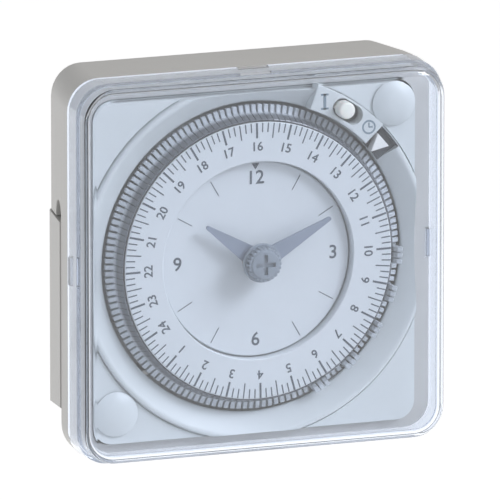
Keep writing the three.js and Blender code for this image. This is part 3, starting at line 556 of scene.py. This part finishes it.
# sizes of the dark sheet of painted shade in the recess
shadeSheetSizes = {"sheet": 0.06, "wall": 0.12, "rim": 0.1, "sideSweep": 0.3}
capSizes = {"reach": 4.2, "top": 0.72, "rise": 1.1, "curve": 2.4, "rings": 7, "seat": 1.9, "stem": 2.5,
            "back": 3.4}


def roundedSheet(name, inset, front, back):
    left, bottom, right, top = plateSizes["edges"]
    sheet = addBlock(name, at(left + inset, front, bottom + inset), at(right - inset, back, top - inset))
    bevelEdges(sheet, alongDepth, plateSizes["corner"] - inset, 8)
    return sheet


def stadium(name, angle, radius, width, length, front, back):
    bar = addBlock(name, at(-length / 2, front, radius - width / 2),
                   at(length / 2, back, radius + width / 2))
    bevelEdges(bar, alongDepth, width / 2 - 0.01, 8)
    return moved(bar, turnAboutDial(angle))


def makePlate():
    s = plateSizes
    outer, crest, well = s["ringOuter"], s["crest"], s["well"]
    plate = roundedSheet("frontPlate", 0, s["front"], s["back"])
    hole = addRound("hole", outer - s["holeInset"], s["front"] - 1, s["back"] + 1, vertices=96)
    boolean(plate, hole, "DIFFERENCE")
    ring = spinProfile("ring", [
        [outer, 3.3], [outer, 2.2], [outer - 0.05, 1.75], [outer - 0.25, 1.42], [outer - 0.5, crest],
        [33.4, crest], [33.1, crest + 0.1], [32.7, crest + 0.36], [well + 0.4, 3.6], [well + 0.1, 3.8],
        [well, 4], [well, 4.3], [well + 1.2, 4.3], [well + 1.2, 3.3]])
    boolean(ring, roundedSheet("trim", 0, -1, 6), "INTERSECT")
    boolean(plate, ring, "UNION")
    cut = s["groove"]
    step, deep, wide = s["front"] - cut["above"], s["front"] + cut["below"], cut["width"]
    groove = spinProfile("groove", [[outer, deep], [outer, step], [outer + wide, step],
                                    [outer + wide, deep]])
    boolean(plate, groove, "DIFFERENCE")
    low, high = s["plateau"]
    inside, outside, front = well + 0.1, outer + 0.1, s["plateauFront"]
    plateau = spinProfile("plateau", [[inside, 3.2], [inside, front], [outside, front], [outside, 3.2]],
                          24, high - low, low)
    bevelEdges(plateau, atDepth(s["plateauFront"]), s["plateauEdge"], 2)
    boolean(plate, plateau, "UNION")
    low, high = s["recess"]
    inside, outside, floor = well - 1, outer - 0.2, s["recessFloor"]
    recess = spinProfile("recess", [[inside, floor], [inside, -1], [outside, -1], [outside, floor]],
                         12, high - low, low)
    boolean(plate, recess, "DIFFERENCE")
    slot = stadium("slot", s["slotAngle"], s["slotRadius"], s["slotWidth"], s["slotLength"], -1, 5)
    boolean(plate, slot, "DIFFERENCE")
    for side in (1, -1):
        place = side * s["capPlace"]
        boolean(plate, addRound("bore", s["capBore"], -1, 5, place, place, 32), "DIFFERENCE")
    skirt = roundedSheet("skirt", 0, 3.3, s["skirtBack"])
    hollow = roundedSheet("hollow", s["skirtWall"], 2, s["skirtBack"] + 1)
    boolean(skirt, hollow, "DIFFERENCE")
    return roundEdges(boolean(plate, skirt, "UNION"), s["edge"], 2, 40)


def makeRecessTray():
    # painted shade: a dark sheet on the recess's floor, turned up along its outer and left sides, where the
    # recess lies in shade
    s = plateSizes
    low, high = s["recess"]
    floor, outside, inside = s["recessFloor"], s["ringOuter"] - 0.2, s["well"] + 0.05
    t = shadeSheetSizes
    sheet, rim = floor - t["sheet"], s["crest"] + t["rim"]
    bend = outside - t["wall"]
    shadeSheet = spinProfile("recessShadeSheet", [[inside, floor], [inside, sheet], [bend, sheet], [bend, rim],
                                      [outside, rim], [outside, floor]], 12, high - low, low)
    wall = spinProfile("wall", [[inside, floor], [inside, rim], [outside, rim], [outside, floor]],
                       2, t["sideSweep"], low)
    return boolean(shadeSheet, wall, "UNION")


def makeCap(side):
    s = capSizes
    reach, rings = s["reach"], s["rings"]
    dome = [[reach * t / rings, s["top"] + s["rise"] * (t / rings) ** s["curve"]] for t in range(rings + 1)]
    profile = dome + [[reach, s["seat"]], [s["stem"], s["seat"]], [s["stem"], s["back"]], [0, s["back"]]]
    place = side * plateSizes["capPlace"]
    return spinProfile("cap", profile, 48, 360, 0, place, place)


finished(makePlate(), "frontPlate", plateAbs, "housing", ["front_plate"])
for word, side in (("UpperRight", 1), ("LowerLeft", -1)):
    node = "screw_cap_upper_right" if side > 0 else "screw_cap_lower_left"
    finished(makeCap(side), "screwCap" + word, plateAbs, "housing", [node], 50)
# the recess gets a dark sheet of painted shade
finished(makeRecessTray(), "recessShadeSheet", paintedShadeSheet, "housing")
print("front plate made")


# --- program dial: spun body, printed marks, numerals ---
dialSizes = {"inner": 18.7, "outer": 26.2, "hours": 24, "topHour": 16, "turn": -0.8, "numberRadius": 21.55,
             "numberSize": 2.35, "inkHeight": 0.03, "inkSpread": 0.045,
             "long": (23.2, 26.05), "short": (24.3, 26.05), "wide": 0.38, "fine": 0.23}


def hourAngle(hour):
    return (dialSizes["topHour"] - hour) * 360 / dialSizes["hours"] + dialSizes["turn"]


def makeDial():
    inner, outer = dialSizes["inner"], dialSizes["outer"]
    return spinProfile("programDial", [
        [18.85, 0], [25.8, 0], [26.05, 0.06], [outer, 0.22], [25.6, 0.9], [25.3, 4.4], [24.3, 4.4],
        [24.3, 1], [19.7, 1], [19.7, 3.7], [6, 3.7], [6, 7.2], [4.3, 7.2], [4.3, 2.9], [inner, 2.9],
        [inner, 0.15]], 144)


def radialMark(angle, reach, width):
    lift = dialSizes["inkHeight"]
    mark = addBlock("mark", at(-width / 2, -lift, reach[0]), at(width / 2, 0.01, reach[1]))
    return moved(mark, turnAboutDial(angle))


def makeDialMarks():
    s = dialSizes
    hour = [radialMark(0, s["long"], s["wide"]), radialMark(-7.5, s["long"], s["fine"])]
    hour += [radialMark(turn, s["short"], s["fine"]) for turn in (-2.5, -5, -10, -12.5)]
    marks = repeatedRound(joinAll(hour, "hourMarks"), s["hours"])
    return moved(marks, turnAboutDial(s["turn"]))


def addNumber(word, size, radius, angle, surface, upright=False):
    deselectAll()
    bpy.ops.object.text_add()
    text = bpy.context.object
    text.data.body = word
    text.data.size = size * mm
    text.data.align_x = "CENTER"
    text.data.align_y = "CENTER"
    text.data.resolution_u = 3
    # fattens the strokes a little and gives the ink its height
    text.data.bevel_depth = dialSizes["inkSpread"] * mm
    text.data.bevel_resolution = 1
    bpy.ops.object.convert(target="MESH")
    text = bpy.context.object
    x, z = around(angle, radius)
    spin = Matrix.Identity(4) if upright else turnAboutDial(angle)
    place = Matrix.Translation(at(x, surface, z)) @ spin @ Matrix.Rotation(math.pi / 2, 4, "X")
    return moved(text, place)


finished(makeDial(), "programDial", dialAbs, "dial", ["program_dial"])
numbers = [addNumber(str(hour), dialSizes["numberSize"], dialSizes["numberRadius"], hourAngle(hour), 0)
           for hour in range(1, dialSizes["hours"] + 1)]
finished(joinAll([makeDialMarks()] + numbers, "dialPrint"), "dialPrint", printInk, "dial")
print("dial made")


# --- tappets, one per ten minutes ---
tappetSizes = {"width": 0.84, "bladeWidth": 1.1, "perHour": 6, "pivot": (26.95, 4.15), "leaning": 34,
               "setHours": [10, 9, 8, 7, 6], "edge": 0.07, "spindle": 0.32, "spindleHalf": 1.5,
               "carrier": [[24, 4.75], [26.75, 4.75], [26.75, 5.6], [24, 5.6]],
               "restingBlade": [[26.05, 4.9], [26.25, 0.55], [26.4, 0.4], [26.62, 0.5], [27.4, 2.95],
                                [27.4, 4.9]],
               "restingFoot": [[26.7, 4.9], [27.1, 3], [27.5, 3.05], [27.75, 3.2], [28.7, 3.4], [28.8, 3.55],
                               [28.8, 4.2]],
               "pushed": [[26.1, 4.3], [25.88, 1.1], [26.4, 0.4], [26.72, 0.5], [27.5, 3.05], [28.7, 3.45],
                          [28.8, 4.05], [27.5, 4.6], [26.4, 4.65]]}


def makeTappet(name, side, width):
    line = drawLine(name, [at(-width / 2, depth, r) for r, depth in side + side[:1]])
    fillAndThicken(line, Vector((width * mm, 0, 0)))
    return roundEdges(line, tappetSizes["edge"], 1, 50)


def allMarks():
    s = tappetSizes
    marks = [(i + 0.5) / s["perHour"] for i in range(dialSizes["hours"] * s["perHour"])]
    pushed = {hour: [m for m in marks if hour - 0.5 < m < hour] for hour in s["setHours"]}
    taken = [m for group in pushed.values() for m in group]
    return pushed, [m for m in marks if m not in taken]


def makeTappets():
    s = tappetSizes
    pushed, resting = allMarks()
    plain = joinAll([makeTappet("blade", s["restingBlade"], s["bladeWidth"]),
                     makeTappet("foot", s["restingFoot"], s["width"])], "restingTappet")
    ring = [copied(plain, "tappet", turnAboutDial(hourAngle(m))) for m in resting]
    carrier = spinProfile("carrier", s["carrier"], 144)
    bpy.data.objects.remove(plain, do_unlink=True)
    finished(joinAll([carrier] + ring, "tappetRing"), "tappetRing", tappetStyreneShadeAndLight, "dial",
             ["tappet_ring"])
    radius, depth = s["pivot"]
    toPivot, fromPivot = Matrix.Translation(at(0, depth, radius)), Matrix.Translation(-at(0, depth, radius))
    lean = toPivot @ Matrix.Rotation(math.radians(-s["leaning"]), 4, "X") @ fromPivot
    tipped = makeTappet("pushedTappet", s["pushed"], s["width"])
    for hour in s["setHours"]:
        middle = hourAngle(hour - 0.25)
        toMiddle = turnAboutDial(middle) @ lean
        blades = [copied(tipped, "blade", toMiddle @ turnAboutDial(hourAngle(m) - middle))
                  for m in pushed[hour]]
        reach = s["spindleHalf"]
        spindle = addRound("spindle", s["spindle"], depth - reach, depth + reach, 0, radius, 16)
        acrossDial = turnAboutDial(middle) @ toPivot @ Matrix.Rotation(math.pi / 2, 4, "Z") @ fromPivot
        group = joinAll(blades + [moved(spindle, acrossDial)], "tappets")
        finished(group, f"tappetsBefore{hour}", tappetStyreneShadeAndLight, f"set_{hour}",
                 [f"tappet_set_{hour}_oclock"])
    bpy.data.objects.remove(tipped, do_unlink=True)


makeTappets()
print("tappets made")


# --- 12-hour face, hands, setting knob ---
faceSizes = {"radius": 18.35, "depth": 1.8, "numberRadius": 15.3, "numberSize": 3.6,
             "markReach": (14.4, 17.6), "markWidth": 0.16,
             "arrow": ((-0.75, 18.1), (0.75, 18.1), (0, 16.9), (-0.75, 18.1))}
handSizes = {"hour": {"length": 12.6, "base": 4.2, "tip": 0.7, "boss": 3.1, "bore": 2.5,
                      "front": -0.5, "back": -0.05, "angle": 305.2},
             "minute": {"length": 15.6, "base": 4.0, "tip": 0.7, "boss": 2.9, "bore": 1.35,
                        "front": -1.25, "back": -0.8, "angle": 62}}
knobSizes = {"ribs": 24, "inner": 2.95, "outer": 3.25, "front": -3.6, "back": -1.9, "bore": 1.35,
             "crossWidth": 0.8, "crossLength": 3.8, "crossFloor": -3.3}


def makeFace():
    s = faceSizes
    radius, depth = s["radius"], s["depth"]
    return spinProfile("clockFace", [[2.6, depth], [radius - 0.15, depth], [radius, depth + 0.12],
                                     [radius, 2.6], [4, 2.6], [4, 7.9], [2.6, 7.9]], 96)


def makeFacePrint():
    s = faceSizes
    lift, depth, half = dialSizes["inkHeight"], s["depth"], s["markWidth"] / 2
    start, end = s["markReach"]
    pieces = []
    for hour in range(12):
        if hour % 3:
            mark = addBlock("mark", at(-half, depth - lift, start), at(half, depth + 0.01, end))
            pieces.append(moved(mark, turnAboutDial(hour * 30)))
        else:
            word = str(hour or 12)
            pieces.append(addNumber(word, s["numberSize"], s["numberRadius"], hour * 30, depth, True))
    arrow = drawLine("arrow", [at(x, depth - lift, z) for x, z in s["arrow"]])
    pieces.append(fillAndThicken(arrow, Vector((0, lift * mm, 0))))
    return joinAll(pieces, "facePrint")


def makeHand(name, s):
    blade = addBlock(name, at(-s["base"] / 2, s["front"], 0), at(s["base"] / 2, s["back"], s["length"]))
    pickFaces(blade, lambda centre, normal: normal.z > 0.9)
    bpy.ops.transform.resize(value=(s["tip"] / s["base"], 1, 1))
    bpy.ops.object.mode_set(mode="OBJECT")
    bevelEdges(blade, lambda a, b: alongDepth(a, b) and a.z > 1 * mm, 0.3, 4)
    boolean(blade, addRound("boss", s["boss"], s["front"], s["back"], vertices=64), "UNION")
    boolean(blade, addRound("bore", s["bore"], s["front"] - 1, s["back"] + 1, vertices=48), "DIFFERENCE")
    roundEdges(blade, 0.07, 2, 40)
    return moved(blade, turnAboutDial(s["angle"]))


def makeKnob():
    s = knobSizes
    grip = addRound("grip", s["outer"], s["front"], s["back"], vertices=s["ribs"] * 4)
    # four points to a rib, the third one pulled in to make the valley
    valley = {i for i, v in enumerate(grip.data.vertices)
              if round((math.degrees(math.atan2(v.co.x, v.co.z)) % 360) / (90 / s["ribs"])) % 4 == 2}
    pickEdges(grip, lambda a, b: False)
    bpy.ops.mesh.select_mode(type="VERT")
    bpy.ops.object.mode_set(mode="OBJECT")
    for i in valley:
        grip.data.vertices[i].select = True
    bpy.ops.object.mode_set(mode="EDIT")
    pull = s["inner"] / s["outer"]
    bpy.ops.transform.resize(value=(pull, 1, pull), center_override=at(0, 0, 0))
    bpy.ops.object.mode_set(mode="OBJECT")
    bevelEdges(grip, atDepth(s["front"]), 0.18, 2)
    top = spinProfile("top", [[0, -3.9], [2.3, -3.9], [2.6, -3.82], [2.8, -3.5], [2.8, -3.3], [0, -3.3]], 48)
    collar = spinProfile("collar", [[0, -2.1], [3.5, -2.1], [3.7, -1.85], [3.7, -1.55], [3.62, -1.5],
                                    [0, -1.5]], 64)
    knob = boolean(boolean(grip, top, "UNION"), collar, "UNION")
    thin, long = s["crossWidth"], s["crossLength"]
    for wide, high in ((thin, long), (long, thin)):
        slot = addBlock("slot", at(-wide / 2, -4.5, -high / 2), at(wide / 2, s["crossFloor"], high / 2))
        boolean(knob, slot, "DIFFERENCE")
    boolean(knob, addRound("bore", s["bore"], -2.9, 0, vertices=32), "DIFFERENCE")
    return roundEdges(knob, 0.05, 1, 45)


finished(makeFace(), "clockFace", dialAbs, "housing", ["clock_face"])
finished(makeFacePrint(), "facePrint", printInk, "housing")
for word, sizes in handSizes.items():
    finished(makeHand(word + "Hand", sizes), word + "Hand", handAbs, word, [word + "_hand"])
finished(makeKnob(), "settingKnob", knobAbs, "minute", ["setting_knob"])
print("face and hands made")


# --- override slider, its marks and the time pointer ---
controlSizes = {"radius": 32.1, "angle": 33.6, "travel": 2.6,
                "stemHalf": 1.4, "footHalf": 3, "halfHeight": 0.8,
                "pointer": 49.8, "pointerShape": (29.1, 32.4, 1.7), "pointerFront": 0.4, "pointerDepth": 2.1,
                "onMark": (31.8, 24.5), "clockMark": (32.1, 43), "clockRing": 1.35, "clockLine": 0.34}


def makeSlider():
    s = controlSizes
    start, radius, lift = -s["travel"] / 2, s["radius"], s["halfHeight"]
    stemEnd, footEnd = s["stemHalf"], s["footHalf"]
    knob = spinProfile("knob", [[0, -2.1], [1.15, -2.1], [1.4, -2.02], [1.55, -1.85], [1.6, -1.65],
                                [1.6, 0.3], [0, 0.3]], 48, 360, 0, start, radius)
    stem = addBlock("stem", at(start - stemEnd, 0, radius - lift), at(start + stemEnd, 4.4, radius + lift))
    foot = addBlock("foot", at(start - footEnd, 4.3, radius - lift), at(start + footEnd, 5.3, radius + 0.9))
    body = boolean(boolean(knob, stem, "UNION"), foot, "UNION")
    return moved(body, turnAboutDial(s["angle"]))


def makePointer():
    tip, base, side = controlSizes["pointerShape"]
    corners = ((0, tip), (side, base), (-side, base), (0, tip))
    pointer = drawLine("pointer", [at(x, controlSizes["pointerFront"], z) for x, z in corners])
    fillAndThicken(pointer, Vector((0, controlSizes["pointerDepth"] * mm, 0)))
    return moved(roundEdges(pointer, 0.15, 2, 40), turnAboutDial(controlSizes["pointer"]))


def makeControlMarks():
    s = controlSizes
    top, under = plateSizes["plateauFront"] - dialSizes["inkHeight"], plateSizes["plateauFront"] + 0.01
    radius, angle = s["onMark"]
    x, z = around(angle, radius)
    strokes = []
    for wide, low, high in ((0.55, -1.5, 1.5), (1.5, 1.15, 1.5), (1.5, -1.5, -1.15)):
        strokes.append(addBlock("stroke", at(x - wide / 2, top, z + low), at(x + wide / 2, under, z + high)))
    radius, angle = s["clockMark"]
    x, z = around(angle, radius)
    ring = s["clockRing"]
    inner = ring - s["clockLine"]
    strokes.append(spinProfile("dialMark", [[inner, top], [ring, top], [ring, under], [inner, under]],
                               40, 360, 0, x, z))
    strokes.append(addBlock("stroke", at(x - 0.14, top, z), at(x + 0.14, under, z + 0.85)))
    strokes.append(addBlock("stroke", at(x, top, z - 0.14), at(x + 0.75, under, z + 0.14)))
    return joinAll(strokes, "controlMarks")


finished(makeSlider(), "overrideSlider", creamAcetal, "slider", ["override_slider"])
finished(makePointer(), "timePointer", whiteAcetal, "housing", ["time_pointer"])
finished(makeControlMarks(), "controlMarks", paleInk, "housing")
print("controls made")


# --- pieces that keep their CAD solid, in their own finish ---
keptFinishes = {
    zincSteel: ["foot_screw_left", "foot_screw_right", "fixing_screw_upper_right", "fixing_screw_lower_left",
                "terminal_cover_screw", "reserve_cell", "quartz_can"]
               + [f"terminal_screw_{i}" for i in range(1, 6)],
    plainBrass: ["minute_arbor", "moving_contact", "fixed_contact"],
    nickelBrass: [f"terminal_clamp_{i}" for i in range(1, 6)],
    naturalNylon: ["dial_gear", "hour_wheel", "motion_wheel", "day_wheel", "drive_pinion", "sensing_lever"],
    frameAbs: ["frame_front", "frame_rear"],
    darkPhenolic: ["motor_gearcase", "switch_body", "capacitor"],
    copperWire: ["coil"],
    laminatedSteel: ["stator"],
    solderMask: ["circuit_board"],
}
for material, nodes in keptFinishes.items():
    for node in nodes:
        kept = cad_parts[node]
        kept.data.materials.clear()
        kept.data.materials.append(material)
print("kept nodes finished")


# --- floor, light and camera ---
stageSizes = {"floor": -0.42, "floorSize": 14, "world": "#FFFFFF", "ambient": 0.53, "floorGlow": 0.48,
              "azimuth": -20.2, "elevation": 13.1, "distance": 2.6, "scale": 5.42,   # scale is pixels per mm
              "sensor": 36, "imageWidth": 500, "aimRight": -1.463, "aimUp": 1.907}
lamps = [
    # name, place, size, watts, colour
    ("keyLamp", (1.1, -1.1, 1.1), 0.6, 15.4, "#FFFDFA"),
    ("fillLamp", (-1.6, -0.9, 0.5), 1.2, 2.6, "#F4F8FF"),
]


def makeStage():
    s = stageSizes
    deselectAll()
    bpy.ops.mesh.primitive_plane_add(size=s["floorSize"], location=(0, 0, s["floor"]))
    floor = bpy.context.object
    floor.name = "floor"
    paint, tree, output, place = newMaterial("palePaint")
    shader = addNode(tree, "ShaderNodeBsdfPrincipled",
                     {"Base Color": linearColour("#F6F6F6"), "Roughness": 0.9,
                      "Emission Color": linearColour("#FFFFFF"), "Emission Strength": s["floorGlow"]})
    tree.links.new(shader.outputs["BSDF"], output.inputs["Surface"])
    floor.data.materials.append(paint)
    world = bpy.data.worlds.new("softWhite")
    world.use_nodes = True
    back = world.node_tree.nodes["Background"]
    back.inputs["Color"].default_value = linearColour(s["world"])
    back.inputs["Strength"].default_value = s["ambient"]
    bpy.context.scene.world = world
    for name, place, size, watts, colour in lamps:
        deselectAll()
        bpy.ops.object.light_add(type="AREA", location=place)
        lamp = bpy.context.object
        lamp.name = name
        lamp.data.size = size
        lamp.data.energy = watts
        lamp.data.color = linearColour(colour)[:3]
        lamp.rotation_euler = (-Vector(place)).to_track_quat("-Z", "Y").to_euler()


def makeCamera():
    s = stageSizes
    a, e = math.radians(s["azimuth"]), math.radians(s["elevation"])
    back = Vector((math.sin(a) * math.cos(e), -math.cos(a) * math.cos(e), math.sin(e)))
    right = Vector((math.cos(a), math.sin(a), 0))
    up = back.cross(right)
    aim = at(0, 0, 0) + right * s["aimRight"] * mm + up * s["aimUp"] * mm
    deselectAll()
    bpy.ops.object.camera_add(location=aim + back * s["distance"])
    camera = bpy.context.object
    camera.rotation_euler = back.to_track_quat("Z", "Y").to_euler()
    camera.data.sensor_width = s["sensor"]
    # a long lens, so verticals stay parallel
    camera.data.lens = s["scale"] * s["sensor"] / s["imageWidth"] * s["distance"] / mm
    camera.data.clip_start, camera.data.clip_end = 0.1, 60
    bpy.context.scene.camera = camera


makeStage()
makeCamera()
bpy.context.scene.view_settings.view_transform = "Standard"
print("scene ready")
